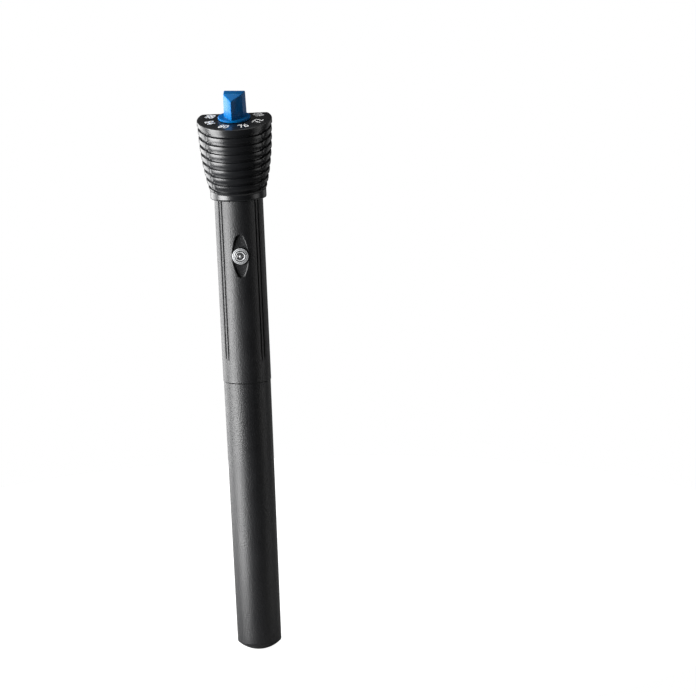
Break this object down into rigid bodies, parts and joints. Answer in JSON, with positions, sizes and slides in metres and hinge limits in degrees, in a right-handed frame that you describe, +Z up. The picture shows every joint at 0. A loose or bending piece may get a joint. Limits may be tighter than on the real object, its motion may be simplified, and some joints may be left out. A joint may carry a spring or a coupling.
{
  "type": "submersible aquarium heater",
  "caption": "Long round black aquarium heater with a ribbed head leaning forward, a blue temperature knob on a dial, an indicator window and a domed heating tube.",
  "frame": {"origin": "centre of the small flat at the tip of the lower tube's dome", "axes": "+Z up the tube towards the head; -Y is the front, where the indicator window and the low side of the dial are; +X is to the right seen from the front"},
  "size_m": [0.038, 0.0443, 0.2899],
  "materials": {
    "housing_plastic": "satin black, fine moulded grain",
    "tube_plastic": "matt black, fine grain",
    "knob_plastic": "semi-gloss blue",
    "dial_print": "pad-printed numerals on the dial",
    "lens_clear": "clear polished, unlit",
    "seal_rubber": "matt black",
    "steel": "ground stainless",
    "brass": "turned",
    "aluminium": "rolled sheet",
    "nylon": "natural nylon, moulded",
    "board_laminate": "green solder mask on glass laminate",
    "component_resin": "moulded epoxy",
    "film_box": "moulded box",
    "can_sleeve": "shrink sleeve on an aluminium can",
    "resistor_coat": "lacquer coat",
    "ceramic": "unglazed steatite",
    "mica": "rolled mica sheet",
    "heating_wire": "oxidised resistance wire",
    "silicone": "moulded silicone",
    "wire_red": "insulated wire",
    "wire_white": "insulated wire"
  },
  "bodies": {
    "housing": {"barrel_seal_ring": "seal_rubber", "board_spacer_lower": "silicone", "board_spacer_upper": "silicone", "bottom_cushion": "silicone", "ceramic_core": "ceramic", "control_board": "board_laminate", "control_body": "component_resin", "control_carrier": "nylon", "control_chip": "component_resin", "control_wire_1": "wire_white", "control_wire_2": "wire_white", "control_wire_3": "wire_white", "cord_grommet": "seal_rubber", "core_insulator_bottom": "ceramic", "core_insulator_top": "ceramic", "coupling_sleeve": "housing_plastic", "cutoff_lead": "wire_red", "dropper_resistor": "resistor_coat", "electrolytic_capacitor": "can_sleeve", "film_capacitor": "film_box", "gland_cap": "housing_plastic", "head_seal_ring": "seal_rubber", "head_shell": "housing_plastic", "heat_barrier": "mica", "heat_spreader": "aluminium", "heating_coil": "heating_wire", "indicator_led": "lens_clear", "led_lens": "lens_clear", "led_spacer": "nylon", "lens_gasket": "seal_rubber", "live_lead": "wire_red", "lower_tube": "tube_plastic", "mica_sleeve": "mica", "neutral_lead": "wire_white", "seal_cup": "nylon", "shaft_bush": "brass", "shaft_seal_lower": "seal_rubber", "shaft_seal_upper": "seal_rubber", "terminal_block": "nylon", "terminal_screw_left": "brass", "terminal_screw_right": "brass", "thermal_cutoff": "ceramic", "thermistor": "component_resin", "thermistor_lead": "wire_white", "triac": "component_resin", "tube_seal_ring": "seal_rubber", "upper_barrel": "housing_plastic"},
    "knob": {"temperature_knob": "knob_plastic", "knob_shaft": "steel", "shaft_clip": "steel", "control_rotor": "nylon"}
  },
  "joints": [
    {"name": "knob_turn", "type": "hinge", "parent": "housing", "child": "knob", "pos_m": [0, -0.00763, 0.2759], "axis": [0, -0.2079, 0.9781], "range_deg": [-112, 128]}
  ]
}
